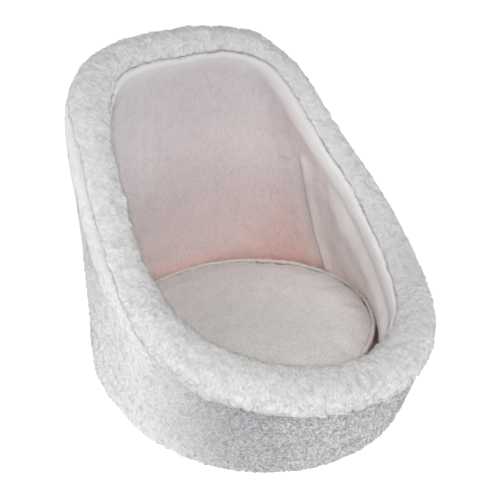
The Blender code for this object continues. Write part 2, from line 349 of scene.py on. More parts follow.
def closed_ring(name, front, back, mat, attributes=None):
    """A closed band round the bed: a detailed face and a plain hidden one, joined along both edges."""
    n, m = front.shape[:2]
    mb = back.shape[1]
    both = np.concatenate([front, back[:, ::-1]], axis=1)
    faces = ring_faces(n, m + mb)
    verts = both.reshape(-1, 3)
    if outward_volume(verts, faces) < 0:
        faces = faces[:, ::-1]
    attrs = {}
    for key, values in (attributes or {}).items():
        fill = np.zeros((n, mb)) + 0.5
        attrs[key] = np.concatenate([values, fill], axis=1).ravel()
    return mesh_object(name, verts, faces, mat, attrs)


# =============================================================== materials
def shader_base(name, roughness=0.95, sheen=0.0, sheen_roughness=0.5, sheen_tint=(1, 1, 1, 1)):
    mat = bpy.data.materials.new(name)
    mat.use_nodes = True
    nt = mat.node_tree
    bsdf = nt.nodes["Principled BSDF"]
    bsdf.inputs["Roughness"].default_value = roughness
    bsdf.inputs["Specular IOR Level"].default_value = 0.12
    bsdf.inputs["Sheen Weight"].default_value = sheen
    bsdf.inputs["Sheen Roughness"].default_value = sheen_roughness
    bsdf.inputs["Sheen Tint"].default_value = sheen_tint
    return mat, nt, bsdf


def add(nt, kind, **props):
    node = nt.nodes.new(kind)
    for k, v in props.items():
        setattr(node, k, v)
    return node


def ramp(nt, source, stops):
    node = nt.nodes.new("ShaderNodeValToRGB")
    el = node.color_ramp.elements
    while len(el) > len(stops):
        el.remove(el[-1])
    while len(el) < len(stops):
        el.new(0.5)
    for e, (pos, col) in zip(el, stops):
        e.position = pos
        e.color = (*col, 1.0)
    nt.links.new(source, node.inputs["Fac"])
    return node.outputs["Color"]


def mix(nt, kind, fac, a, b):
    node = nt.nodes.new("ShaderNodeMix")
    node.data_type = "RGBA"
    node.blend_type = kind
    for key, v in ((0, fac), (6, a), (7, b)):
        if hasattr(v, "is_output"):
            nt.links.new(v, node.inputs[key])
        else:
            node.inputs[key].default_value = v if key == 0 else (*v, 1.0)
    return node.outputs[2]


def plush(name, deep, mid, tip, tuft_mm, fibre_mm, bump_mm, source="object", stretch=(1, 1, 1), curl=0.6, sheen=0.12,
          crevice=0.5, mottle=0.05, painted_shading=None, calm_and_painted_light=None, even=None, spot=None, sides=None, foot=None, top=None,
          under=None, rim=None):
    """Pile fabric: rounded tufts with painted shade in the gaps between them, and fine fibres; source 'flow' combs it
    along the piece's own grid.
    """
    mat, nt, bsdf = shader_base(name, 0.97, sheen, 0.5)
    coord = add(nt, "ShaderNodeTexCoord")
    if source == "flow":
        origin = add(nt, "ShaderNodeAttribute", attribute_name="flow").outputs["Vector"]
    else:
        origin = coord.outputs["Object"]
    comb = add(nt, "ShaderNodeMapping")
    comb.inputs["Scale"].default_value = stretch
    nt.links.new(origin, comb.inputs["Vector"])
    wander = add(nt, "ShaderNodeTexNoise")
    wander.inputs["Scale"].default_value = 1000.0 / (tuft_mm * 2.2)
    wander.inputs["Detail"].default_value = 2.0
    nt.links.new(comb.outputs["Vector"], wander.inputs["Vector"])
    centred = add(nt, "ShaderNodeVectorMath", operation="SUBTRACT")
    nt.links.new(wander.outputs["Color"], centred.inputs[0])
    centred.inputs[1].default_value = (0.5, 0.5, 0.5)
    amount = add(nt, "ShaderNodeVectorMath", operation="SCALE")
    nt.links.new(centred.outputs[0], amount.inputs[0])
    amount.inputs["Scale"].default_value = tuft_mm * MM * curl * 4
    moved = add(nt, "ShaderNodeVectorMath", operation="ADD")
    nt.links.new(comb.outputs["Vector"], moved.inputs[0])
    nt.links.new(amount.outputs[0], moved.inputs[1])
    cell = add(nt, "ShaderNodeTexVoronoi", feature="SMOOTH_F1")
    cell.inputs["Scale"].default_value = 1000.0 / tuft_mm
    cell.inputs["Smoothness"].default_value = 0.35
    nt.links.new(moved.outputs[0], cell.inputs["Vector"])
    dome = add(nt, "ShaderNodeMapRange")
    dome.inputs["From Min"].default_value = 0.75
    dome.inputs["From Max"].default_value = 0.05
    nt.links.new(cell.outputs["Distance"], dome.inputs["Value"])
    fibre = add(nt, "ShaderNodeTexNoise")
    fibre.inputs["Scale"].default_value = 1000.0 / fibre_mm
    fibre.inputs["Detail"].default_value = 4.0
    fibre.inputs["Roughness"].default_value = 0.65
    nt.links.new(moved.outputs[0], fibre.inputs["Vector"])
    height = add(nt, "ShaderNodeMath", operation="MULTIPLY_ADD")
    nt.links.new(fibre.outputs["Fac"], height.inputs[0])
    height.inputs[1].default_value = 0.55
    nt.links.new(dome.outputs["Result"], height.inputs[2])
    level = add(nt, "ShaderNodeMath", operation="MULTIPLY")
    nt.links.new(height.outputs[0], level.inputs[0])
    level.inputs[1].default_value = 0.72
    # painted shade: the deep colour fills the gaps between tufts, where their shadow falls; the tip colour is on the
    # tops
    colour = ramp(nt, level.outputs[0], [(0.12, deep), (crevice, mid), (0.95, tip)])
    strength = None
    if calm_and_painted_light:                                                   # smoother pile, and painted light: where it fades, the painted gap shade weakens and the colour moves to the lighter even tone, as where the light falls stronger
        place = add(nt, "ShaderNodeSeparateXYZ")
        nt.links.new(coord.outputs["Object"], place.inputs[0])
        wide = add(nt, "ShaderNodeMath", operation="ABSOLUTE")
        shifted = add(nt, "ShaderNodeMath", operation="ADD")       # measured from a little left of the middle, so the darker, full-contrast painted shade stays at the front left
        nt.links.new(place.outputs["X"], shifted.inputs[0])
        shifted.inputs[1].default_value = 0.03
        nt.links.new(shifted.outputs[0], wide.inputs[0])
        for axis_name, low, high, least in calm_and_painted_light:
            out = wide.outputs[0] if axis_name == "wide" else place.outputs[axis_name]
            fade = add(nt, "ShaderNodeMapRange", interpolation_type="SMOOTHSTEP")
            fade.inputs["From Min"].default_value = low
            fade.inputs["From Max"].default_value = high
            fade.inputs["To Min"].default_value = 1.0
            fade.inputs["To Max"].default_value = least
            nt.links.new(out, fade.inputs["Value"])
            if strength is None:
                strength = fade.outputs["Result"]
            else:
                both = add(nt, "ShaderNodeMath", operation="MULTIPLY")
                nt.links.new(strength, both.inputs[0])
                nt.links.new(fade.outputs["Result"], both.inputs[1])
                strength = both.outputs[0]
        colour = mix(nt, "MIX", strength, even or tuple(0.35 * m + 0.65 * t for m, t in zip(mid, tip)), colour)
    patch = add(nt, "ShaderNodeTexNoise")
    patch.inputs["Scale"].default_value = 45.0
    patch.inputs["Detail"].default_value = 5.0
    nt.links.new(coord.outputs["Object"], patch.inputs["Vector"])
    shade = ramp(nt, patch.outputs["Fac"], [(0.32, (1 - mottle,) * 3), (0.66, (1.0,) * 3)])
    colour = mix(nt, "MULTIPLY", 1.0, colour, shade)
    # painted shading: the colour darkened or tinted along an axis, standing in for light and shade
    if painted_shading:
        axis = add(nt, "ShaderNodeSeparateXYZ")
        nt.links.new(coord.outputs["Object"], axis.inputs[0])
        for key, low, high, stops in painted_shading:
            span = add(nt, "ShaderNodeMapRange")
            span.inputs["From Min"].default_value = low
            span.inputs["From Max"].default_value = high
            nt.links.new(axis.outputs[key], span.inputs["Value"])
            colour = mix(nt, "MULTIPLY", 1.0, colour, ramp(nt, span.outputs["Result"], stops))
    if sides:                                                  # paler side walls either side of the tinted back
        tone, start, end = sides
        split = add(nt, "ShaderNodeSeparateXYZ")
        nt.links.new(coord.outputs["Object"], split.inputs[0])
        away_x = add(nt, "ShaderNodeMath", operation="ABSOLUTE")
        nt.links.new(split.outputs["X"], away_x.inputs[0])
        ahead = add(nt, "ShaderNodeMath", operation="SUBTRACT")
        ahead.inputs[0].default_value = 0.014
        nt.links.new(split.outputs["Y"], ahead.inputs[1])
        bearing = add(nt, "ShaderNodeMath", operation="ARCTAN2")
        nt.links.new(away_x.outputs[0], bearing.inputs[0])
        nt.links.new(ahead.outputs[0], bearing.inputs[1])
        part = add(nt, "ShaderNodeMapRange", interpolation_type="SMOOTHSTEP")
        part.inputs["From Min"].default_value = math.radians(start)
        part.inputs["From Max"].default_value = math.radians(end)
        nt.links.new(bearing.outputs[0], part.inputs["Value"])
        # painted shade in the gaps between tufts here too
        pale = mix(nt, "MULTIPLY", 1.0, ramp(nt, level.outputs[0], [(0.12, tuple(0.9 * v for v in tone)), (crevice, tone)]),
                   shade)
        colour = mix(nt, "MIX", part.outputs["Result"], colour, pale)
    if spot:                                                   # painted shade: a darker tone round one place, where shade gathers
        centre, radius, tone = spot
        away = add(nt, "ShaderNodeVectorMath", operation="DISTANCE")
        nt.links.new(coord.outputs["Object"], away.inputs[0])
        away.inputs[1].default_value = centre
        near = add(nt, "ShaderNodeMapRange", interpolation_type="SMOOTHSTEP")
        near.inputs["From Min"].default_value = 0.0
        near.inputs["From Max"].default_value = radius
        nt.links.new(away.outputs["Value"], near.inputs["Value"])
        colour = mix(nt, "MULTIPLY", 1.0, colour, ramp(nt, near.outputs["Result"], [(0.0, tone), (1.0, (1, 1, 1))]))
    if rim:                                                    # next to the roll, where the piece is marked, a greyer white: partly the whiter pile there, partly painted shade beside the roll
        share = add(nt, "ShaderNodeAttribute", attribute_name="rim")
        blend = add(nt, "ShaderNodeMix", data_type="RGBA")
        nt.links.new(share.outputs["Fac"], blend.inputs[0])
        nt.links.new(colour, blend.inputs[6])
        blend.inputs[7].default_value = (*rim, 1.0)
        colour = blend.outputs[2]
    for band, ends in ((foot, (0.0, 1.0)), (top, (1.0, 0.0))):   # painted shade: pinker and darker low down round the cushion, where shade and pink bounced light gather; darker high up, under the roll's overhang
        if band:
            height = add(nt, "ShaderNodeSeparateXYZ")
            nt.links.new(coord.outputs["Object"], height.inputs[0])
            rise = add(nt, "ShaderNodeMapRange", interpolation_type="SMOOTHSTEP")
            rise.inputs["From Min"].default_value = band[0]
            rise.inputs["From Max"].default_value = band[1]
            rise.inputs["To Min"].default_value, rise.inputs["To Max"].default_value = ends
            nt.links.new(height.outputs["Z"], rise.inputs["Value"])
            colour = mix(nt, "MULTIPLY", 1.0, colour, ramp(nt, rise.outputs["Result"], [(0.0, band[2]), (1.0, (1, 1, 1))]))
    if under:                                                  # painted shade: pile facing downwards is darker, as if shaded from the light above
        facing = add(nt, "ShaderNodeSeparateXYZ")
        nt.links.new(add(nt, "ShaderNodeNewGeometry").outputs["Normal"], facing.inputs[0])
        rise = add(nt, "ShaderNodeMapRange", interpolation_type="SMOOTHSTEP")
        rise.inputs["From Min"].default_value = -0.55
        rise.inputs["From Max"].default_value = 0.35
        nt.links.new(facing.outputs["Z"], rise.inputs["Value"])
        colour = mix(nt, "MULTIPLY", 1.0, colour, ramp(nt, rise.outputs["Result"], [(0.0, under), (1.0, (1, 1, 1))]))
    nt.links.new(colour, bsdf.inputs["Base Color"])
    bump = add(nt, "ShaderNodeBump")
    bump.inputs["Strength"].default_value = 1.0
    if strength is not None:
        nt.links.new(strength, bump.inputs["Strength"])
    bump.inputs["Distance"].default_value = bump_mm * MM
    nt.links.new(height.outputs[0], bump.inputs["Height"])
    nt.links.new(bump.outputs["Normal"], bsdf.inputs["Normal"])
    return mat


def plain_cloth(name, colour, scale_mm=1.2):
    """Flat woven cloth: crossed threads as fine relief and tone."""
    mat, nt, bsdf = shader_base(name, 0.9, 0.1)
    coord = add(nt, "ShaderNodeTexCoord")
    outs = []
    for axis in ("X", "Y"):
        wave = add(nt, "ShaderNodeTexWave", wave_type="BANDS", bands_direction=axis)
        wave.inputs["Scale"].default_value = 1000.0 / scale_mm / 6.2832 * 2
        wave.inputs["Distortion"].default_value = 0.6
        nt.links.new(coord.outputs["Object"], wave.inputs["Vector"])
        outs.append(wave.outputs["Fac"])
    weave = add(nt, "ShaderNodeMath", operation="MULTIPLY")
    nt.links.new(outs[0], weave.inputs[0])
    nt.links.new(outs[1], weave.inputs[1])
    dark = tuple(c * 0.86 for c in colour)
    nt.links.new(ramp(nt, weave.outputs[0], [(0.0, dark), (0.6, colour)]), bsdf.inputs["Base Color"])
    bump = add(nt, "ShaderNodeBump")
    bump.inputs["Distance"].default_value = 0.0003
    nt.links.new(weave.outputs[0], bump.inputs["Height"])
    nt.links.new(bump.outputs["Normal"], bsdf.inputs["Normal"])
    return mat


# the roll's colour with painted light: painted shade in the tuft gaps and on the underside, a darker top above z 0.26
# m, and an evener, lighter colour above z 0.14 m
roll_mat = plush("rim_plush", (0.76, 0.755, 0.745), (0.872, 0.868, 0.86), (0.90, 0.895, 0.885), 2.5, 1.3, 0.95,
                 source="flow", stretch=(1, 1, 0.55), crevice=0.45, mottle=0.05,
                 painted_shading=[("Z", 0.26, 0.40, [(0.0, (1.0, 1.0, 1.0)), (1.0, (0.88, 0.88, 0.895))])],
                 calm_and_painted_light=(("Z", 0.14, 0.24, 0.8),), under=(0.77, 0.77, 0.775))
# the shell's colour with painted light: painted shade in the tuft gaps, lighter and evener towards the back and sides,
# darker on the left side, and a painted shadow round the front-left below the roll's crease
shell_mat = plush("outer_plush", (0.38, 0.37, 0.39), (0.76, 0.75, 0.77), (0.92, 0.915, 0.93), 2.7, 1.4, 1.7,
                  curl=0.8, crevice=0.5, mottle=0.05, even=(0.925, 0.92, 0.935),
                  calm_and_painted_light=(("Y", -0.17, 0.0, 0.42), ("wide", 0.07, 0.16, 0.5)),
                  painted_shading=[("X", -0.20, -0.04, [(0.0, (0.93, 0.93, 0.93)), (0.35, (0.86, 0.86, 0.86)), (1.0, (1.0, 1.0, 1.0))])],
                  spot=((-0.148, -0.13, 0.075), 0.13, (0.85, 0.85, 0.86)))
# the lining's painted light: by height pinker low down and darker at the top; across, whiter on the left and pinker to
# the right
LINING_PAINTED_SHADING = [("Z", 0.06, 0.40, [(0.0, (1.0, 0.87, 0.84)), (0.22, (1.0, 0.92, 0.905)), (0.55, (1.0, 0.965, 0.98)),
                                    (1.0, (0.84, 0.835, 0.86))]),
                 ("X", -0.14, 0.17, [(0.0, (1.02, 1.06, 1.08)), (0.25, (1.0, 1.01, 1.015)), (0.5, (0.99, 0.965, 0.965)),
                                     (1.0, (1.0, 0.965, 0.955))])]
# and in the lining's colour: a pinker painted shade low in the right-back corner, pinker still round the cushion,
# darker under the roll's overhang, greyer beside the roll, and painted shade in the tuft gaps
lining_mat = plush("lining_nap", (0.88, 0.82, 0.82), (0.965, 0.93, 0.935), (0.98, 0.95, 0.955), 2.1, 1.2, 0.8,
                   stretch=(1, 1, 0.4), crevice=0.42, mottle=0.04, painted_shading=LINING_PAINTED_SHADING,
                   spot=((0.138, 0.135, 0.10), 0.09, (0.99, 0.88, 0.85)),
                   sides=((0.955, 0.885, 0.865), 128.0, 106.0),
                   foot=(0.055, 0.11, (1.0, 0.86, 0.83)), top=(0.24, 0.36, (0.84, 0.84, 0.835)),
                   rim=(0.90, 0.893, 0.898))
cushion_mat = plush("cushion_cloth", (0.70, 0.665, 0.65), (0.85, 0.83, 0.815), (0.885, 0.87, 0.855), 2.1, 1.2, 0.8,
                    crevice=0.38, mottle=0.06)
base_mat = plain_cloth("base_cloth", (0.70, 0.70, 0.71))
foam_mat = plain_cloth("hidden_foam", (0.86, 0.84, 0.78), 1.6)

# =============================================================== rim roll
N_ROLL = 880
roll_s = np.arange(N_ROLL) / N_ROLL
st = Stations(roll_s)
# degrees round the roll: fine where it shows, from inside, over the top, to outside; coarse where it is wrapped
angle = np.concatenate([np.linspace(-210, 72, 99)[:-1], np.linspace(72, 150, 13)[:-1]])
M_ROLL = len(angle)
waver = 2.2 * noise(st.c * 1.0, 24, 91) + 1.2 * noise(st.c * 1.0, 11, 92)


def roll_surface(st, angle):
    """Roll without its pile: round, sunk where the shell and the lining wrap it."""
    a = np.broadcast_to(angle[None, :], (len(st.s), len(angle)))
    r = np.repeat(st.r[:, None], len(angle), axis=1)
    past_outer = a - st.outer[:, None]
    past_inner = (st.inner + waver)[:, None] - a
    sink = np.maximum(smooth(past_outer, -9, 4), smooth(past_inner, -7, 4))
    r = r - 5.0 * sink
    c, s = np.cos(np.radians(a)), np.sin(np.radians(a))
    p = st.c[:, None] + (r * c)[..., None] * st.o[:, None] + (r * s)[..., None] * st.d[:, None]
    return p, sink


p, sink = roll_surface(st, angle)
n = grid_normals(p, True, True)
if ((p - st.c[:, None]) * n).sum(-1).mean() < 0:
    n = -n
turn = np.radians(angle)[None, :] * 26.5 + 0 * roll_s[:, None]
wind = LOOP_LENGTH / (2 * math.pi)
flow = np.stack([wind * np.cos(2 * math.pi * roll_s)[:, None] + 0 * turn,
                 wind * np.sin(2 * math.pi * roll_s)[:, None] + 0 * turn, turn], axis=-1)
lump = 1.6 * noise(p, 62, 3) + 1.2 * noise(p, 27, 4)
clump = fbm(p, 13, 2, 5)
strand = warp(flow * np.array([1, 1, 0.6]), 9, 2.4, 31)
near1, near2, own = cells(strand, 4.2, 7)
tuft = 1 - np.clip(near1 / 0.78, 0, 1) ** 1.5
fine = noise(warp(flow * np.array([1, 1, 0.6]), 5, 1.4, 41), 2.7, 9)
h = lump + 2.7 * clump + 1.1 * (tuft - 0.4) + 0.45 * fine
p = p + n * (h * (1 - 0.6 * sink))[..., None]
roll = mixed_object("rim_roll", p.reshape(-1, 3), [ring_faces(N_ROLL, M_ROLL)], roll_mat,
                    {"flow": flow.reshape(-1, 3) * MM})
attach(roll, "tub"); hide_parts("rim_cover", "rim_filling")

def fibres(name, surface, normals, keep, count, length, thick, comb, mat, seed, flow_grid=None,
           marks=None):
    """Loose pile fibres standing on a grid surface, each a slim closed spike; keep is the share of the grid's rows used."""
    rng = np.random.default_rng(seed)
    nu, nv = surface.shape[:2]
    j0, j1 = keep
    area = np.linalg.norm(np.cross(np.roll(surface, -1, 0)[:, :-1] - surface[:, :-1], surface[:, 1:] - surface[:, :-1]),
                          axis=2)[:, j0:j1]
    w = area.ravel() / area.sum()
    pick = rng.choice(area.size, size=count, p=w)
    i, j = pick // area.shape[1], pick % area.shape[1] + j0
    fu, fv = rng.random(count)[:, None], rng.random(count)[:, None]
    i2 = (i + 1) % nu

    def read(g):
        return ((g[i, j] * (1 - fu) + g[i2, j] * fu) * (1 - fv) + (g[i, j + 1] * (1 - fu) + g[i2, j + 1] * fu) * fv)

    root = read(surface)
    n = read(normals)
    n /= np.linalg.norm(n, axis=1, keepdims=True)
    across = surface[i, j + 1] - surface[i, j]
    across = across - n * (across * n).sum(1, keepdims=True)
    across /= np.maximum(np.linalg.norm(across, axis=1, keepdims=True), 1e-6)
    along = np.cross(n, across)
    sway = np.stack([noise(root, 9, seed + 1), noise(root, 9, seed + 2)], axis=1) * 1.3
    sway += rng.normal(0, 0.35, (count, 2)) + np.array(comb)
    d = n * 0.75 + across * sway[:, :1] * 0.8 + along * sway[:, 1:] * 0.8
    d /= np.linalg.norm(d, axis=1, keepdims=True)
    long = length * (0.6 + 0.6 * rng.random(count))[:, None]
    side = np.cross(d, n + 0.3 * along)
    side /= np.maximum(np.linalg.norm(side, axis=1, keepdims=True), 1e-6)
    other = np.cross(d, side)
    base = root - n * 0.7
    th = thick * (0.7 + 0.6 * rng.random(count))[:, None]
    v = np.stack([base + side * th, base - side * th * 0.5 + other * th * 0.87, base - side * th * 0.5 - other * th * 0.87,
                  root + d * long], axis=1)
    v[..., 2] = np.maximum(v[..., 2], 0.3)
    k = np.arange(count)[:, None] * 4
    tris = np.concatenate([k + np.array([0, 2, 1]), k + np.array([0, 1, 3]), k + np.array([1, 2, 3]), k + np.array([2, 0, 3])])
    attributes = None
    if flow_grid is not None:
        attributes = {"flow": (np.repeat(read(flow_grid)[:, None], 4, axis=1).reshape(-1, 3)) * MM}
    for key, values in (marks or {}).items():
        attributes = dict(attributes or {}, **{key: np.repeat(read(values[..., None]), 4, axis=1).ravel()})
    obj = mixed_object(name, v.reshape(-1, 3), [tris], mat, attributes)
    # each fibre has its own spot on the map, and each of its faces a quarter of that spot
    side_by_side = math.ceil(math.sqrt(count))
    spot = np.stack([np.arange(count) % side_by_side, np.arange(count) // side_by_side], axis=1)
    corner = np.array([(0.06, 0.06), (0.44, 0.06), (0.06, 0.44)])
    quarter = np.array([(0, 0), (0.5, 0), (0, 0.5), (0.5, 0.5)])
    uv = (spot[None, :, None] + quarter[:, None, None] + corner[None, None]) / side_by_side
    obj.data.uv_layers.new(name="OFBake").uv.foreach_set("vector", uv.astype(np.float32).ravel())
    lean = n * 0.85 + d * 0.3
    lean /= np.linalg.norm(lean, axis=1, keepdims=True)
    obj.data.normals_split_custom_set_from_vertices(np.repeat(lean[:, None], 4, axis=1).reshape(-1, 3).tolist())
    return obj


visible_rows = (0, 109)
roll_n = grid_normals(p, True, True)
if ((p - st.c[:, None]) * roll_n).sum(-1).mean() < 0:
    roll_n = -roll_n
fuzz = fibres("rim_fibres", p, roll_n, visible_rows, 45000, 3.6, 0.30, (0.2, 0.0), roll_mat, 201, flow)
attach(fuzz, "tub")

# =============================================================== outer shell
BASE = dict(half_width=189.0, front=213.0, back=207.0, power_front=2.04, power_back=2.38, middle=14.0)
CORNER = 39.5
FLOOR = dict(half_width=174.0, front=175.0, back=179.0, power_front=1.9, power_back=2.4, middle=14.0)
FLOOR_Z = 42.6


def shell_path(st, lift=0.0):
    """From under the roll's edge, round the roll, down the wall and round the bottom edge."""
    r = st.r + 0.6 + lift
    cols = []
    deep = 3.0 * smooth(st.outer, 5, 32)                       # the roll overhangs the shell in front
    for k, (da, dr) in enumerate(((-6, -6.0), (-3, -4.6), (0, -3.0), (3, -1.4), (7, -0.3), (12, 0.1))):
        cols.append(st.on(st.outer + da, r + dr - deep))
    leave = np.maximum(st.outer + 14, 10.0)
    span = leave - (st.outer + 12)
    for f in np.linspace(0.15, 1.0, 7):
        cols.append(st.on(st.outer + 12 + span * f, r + 0.1 - deep))
    head = np.stack(cols, axis=1)
    start = cols[-1]
    a = np.radians(leave)
    tangent = (-np.sin(a)[:, None] * st.o + np.cos(a)[:, None] * st.d)
    base, nrm = egg(st.plan, **BASE)
    nrm3 = np.column_stack([nrm, np.zeros(len(nrm))])
    low = np.column_stack([base, np.full(len(base), CORNER)]) + nrm3 * lift
    long = np.linalg.norm(low - start, axis=1)[:, None]
    wall = hermite(start, tangent * long * 0.55, low, np.array([[0, 0, -1.0]]) * long * 0.75,
                   np.linspace(0, 1, 34)[1:])
    t = np.linspace(0, 1, 34)[1:]
    full = 6.0 - 10.0 * np.exp(-(((st.s - 0.73) / 0.13) ** 2))        # the left wall stands straighter
    wall = wall + nrm3[:, None] * (full[:, None] * (4 * t * (1 - t))[None, :])[..., None]
    foot = []
    for d in np.linspace(8, 84, 12):
        a = math.radians(d)
        rad = CORNER + lift
        foot.append(low + nrm3 * (rad * math.cos(a) - rad) + np.array([0, 0, -(rad * math.sin(a))]))
    return np.concatenate([head, wall, np.stack(foot, axis=1)], axis=1)


def shell_relief(g, n, row_share):
    lump = 1.5 * noise(g, 75, 13) + 1.0 * noise(g, 30, 14)
    clump = fbm(g, 10, 2, 15)
    near1, near2, own = cells(warp(warp(g, 12, 3.0, 51), 5, 1.6, 55), 4.8, 17)
    tuft = 1 - np.clip(near1 / 0.8, 0, 1) ** 1.4
    fine = noise(warp(g, 4, 1.5, 61), 2.8, 19)
    h = lump + 1.0 * clump + 1.5 * (tuft - 0.45) + 0.6 * fine
    edge = smooth(row_share * np.ones(g.shape[:2]), 0, 0.045)
    low = smooth(g[..., 2], 1.0, 9.0)
    out = g + n * (h * edge * (0.35 + 0.65 * low))[..., None]
    out[..., 2] = np.maximum(out[..., 2], 0.35)
    return out


def facing(g, st):
    n = grid_normals(g, False)
    mid = g.shape[1] // 2
    return -n if (n[:, mid, :2] * st.o[:, :2]).sum(-1).mean() < 0 else n


# the low front has half the rows of the tall sides and back; they meet in five-sided faces
NF, MF, NB = 350, 80, 380
MB = 2 * (MF - 1) + 1
SPLIT = 0.2
front_s = -SPLIT + 2 * SPLIT * np.arange(NF) / NF
back_s = SPLIT + (1 - 2 * SPLIT) * np.arange(NB) / NB
# the frames, read once round the whole loop so that the two zones share their directions
sf, sb = Stations(np.mod(front_s, 1.0)), Stations(back_s)
gf, _ = resample(shell_path(sf), MF)
gb, _ = resample(shell_path(sb), MB)
both_n = []
for g, st_ in ((gf, sf), (gb, sb)):
    both_n.append(facing(g, st_))
pf = shell_relief(gf, both_n[0], np.linspace(0, 1, MF)[None, :])
pb = shell_relief(gb, both_n[1], np.linspace(0, 1, MB)[None, :])
all_s = np.concatenate([np.mod(front_s, 1.0), back_s])
hid, _ = resample(shell_path(Stations(all_s), -3.2), 9)
verts = np.concatenate([pf.reshape(-1, 3), pb.reshape(-1, 3), hid.reshape(-1, 3)])
off_b = NF * MF
off_h = off_b + NB * MB
polys = [ring_faces(NF, MF, False, False), ring_faces(NB, MB, False, False) + off_b]
j = np.arange(MF - 1)
first_b, last_b = off_b, off_b + (NB - 1) * MB
last_f, first_f = (NF - 1) * MF, 0
polys.append(np.stack([last_f + j, first_b + 2 * j, first_b + 2 * j + 1, first_b + 2 * j + 2, last_f + j + 1], axis=1))
polys.append(np.stack([last_b + 2 * j, first_f + j, first_f + j + 1, last_b + 2 * j + 2, last_b + 2 * j + 1], axis=1))
NA = NF + NB
top_ids = np.concatenate([np.arange(NF) * MF, off_b + np.arange(NB) * MB])
low_ids = np.concatenate([np.arange(NF) * MF + MF - 1, off_b + np.arange(NB) * MB + MB - 1])
polys.append(ring_faces(NA, 9, True, False)[:, ::-1] + off_h)
i = np.arange(NA)
k = (i + 1) % NA
polys.append(np.stack([top_ids[k], top_ids[i], off_h + i * 9, off_h + k * 9], axis=1))
polys.append(np.stack([low_ids[i], low_ids[k], off_h + k * 9 + 8, off_h + i * 9 + 8], axis=1))
shell = mixed_object("outer_shell", verts, polys, shell_mat)
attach(shell, "tub"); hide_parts("outer_cover")
# fibres stand on both zones of the shell, as many on each as its area asks for
closed = np.concatenate([pf[:, ::2][:, :(MF + 1) // 2], pb[:, ::4][:, :(MF + 1) // 2]], axis=0)
closed_n = np.concatenate([both_n[0][:, ::2][:, :(MF + 1) // 2], both_n[1][:, ::4][:, :(MF + 1) // 2]], axis=0)
fuzz = fibres("shell_fibres", closed, closed_n, (2, closed.shape[1] - 3), 48000, 3.3, 0.30, (0.15, 0.0), shell_mat, 211)
fuzz.visible_shadow = False
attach(fuzz, "tub")


# =============================================================== lining
def lining_path(st, lift=0.0):
    """From under the roll's inner edge, round the roll's inner side and down to the floor."""
    r = st.r + 0.2 - lift
    top = st.inner + 360.0 + (2.2 * noise(st.c * 1.0, 24, 91) + 1.2 * noise(st.c * 1.0, 11, 92))
    cols = []
    for da, dr in ((6, -6.0), (3, -4.4), (0, -2.8), (-3, -1.2), (-7, -0.2), (-12, 0.2)):
        cols.append(st.on(top + da, r + dr))
    leave = np.minimum(top - 16, 170.0)
    span = leave - (top - 12)
    for f in np.linspace(0.15, 1.0, 7):
        cols.append(st.on(top - 12 + span * f, r + 0.2))
    start = cols[-1]
    head = np.stack(cols, axis=1)
    a = np.radians(leave)
    tangent = -(-np.sin(a)[:, None] * st.o + np.cos(a)[:, None] * st.d)
    edge, nrm = egg(st.plan, **FLOOR)
    nrm3 = np.column_stack([nrm, np.zeros(len(nrm))])
    low = np.column_stack([edge, np.full(len(edge), FLOOR_Z - 1.5)]) + nrm3 * lift
    long = np.linalg.norm(low - start, axis=1)[:, None]
    t = np.linspace(0, 1, 40)[1:]
    wall = hermite(start, tangent * long * 0.4, low, np.array([[0, 0, -1.0]]) * long * 0.5, t)
    full = np.minimum(st.s, 1 - st.s)                          # the padded sides stand fuller than the back
    full = smooth(full, 0.04, 0.10) * (1 - smooth(full, 0.225, 0.315))
    swell = (1 - full)[:, None] * (8.0 * 4 * t * (1 - t))[None, :]
    swell -= full[:, None] * (10.0 * smooth(t, 0.0, 0.3) * (1 - smooth(t, 0.45, 0.92)))[None, :]
    wall = wall + nrm3[:, None] * swell[..., None]
    return np.concatenate([head, wall], axis=1)


N_LINE, M_LINE = 470, 120
line_s = np.arange(N_LINE) / N_LINE
ls = Stations(line_s)
g, length = resample(lining_path(ls), M_LINE)
n = grid_normals(g, True)
if (n[:, M_LINE // 2, :2] * ls.o[:, :2]).sum(-1).mean() > 0:
    n = -n                                                     # faces into the tub
lump = 1.2 * noise(g, 70, 23) + 0.8 * noise(g, 28, 24)
nap = fbm(g * np.array([1, 1, 0.35]), 6.0, 2, 25)
edge = smooth(np.arange(M_LINE)[None, :] * np.ones((N_LINE, 1)), 0, 5)
FOLDS = [  # soft upright folds where the back lining meets the right side: line, half-width, rise into the tub
    ([(139.4, 109.1, 234.7), (146.9, 109.6, 188.6), (153.2, 105.9, 150.2), (164.2, 93.6, 96.9), (168, 85, 60)], 9.0, -5.5),
    ([(143.0, 91.6, 232.6), (153.4, 90.8, 178.9), (163.1, 84.0, 125.2), (171.5, 70.3, 79.3)], 8.5, 6.0),
    ([(156.0, 62.0, 215.0), (160.0, 52.0, 190.0), (164.0, 47.0, 160.3), (169.2, 41.5, 133.9), (173.3, 36.5, 107.0),
      (175.3, 27.4, 80)], 8.0, -5.0),
    ([(133.2, 130.3, 236.3), (141.3, 96.0, 238.7)], 5.0, 1.5)]
fold = np.zeros(g.shape[:2])
for line, width, rise in FOLDS:
    line = np.array(line, float)
    best = np.full(g.shape[:2], 1e9)
    for q0, q1 in zip(line[:-1], line[1:]):
        d = q1 - q0
        t = np.clip(((g - q0) @ d) / (d @ d), 0, 1)
        best = np.minimum(best, np.linalg.norm(g - (q0 + t[..., None] * d), axis=-1))
    fold += rise * np.exp(-(best / width) ** 2)
g2 = g + n * ((lump + 0.4 * nap) * edge + fold)[..., None]
back, _ = resample(lining_path(ls, 2.5), 14)
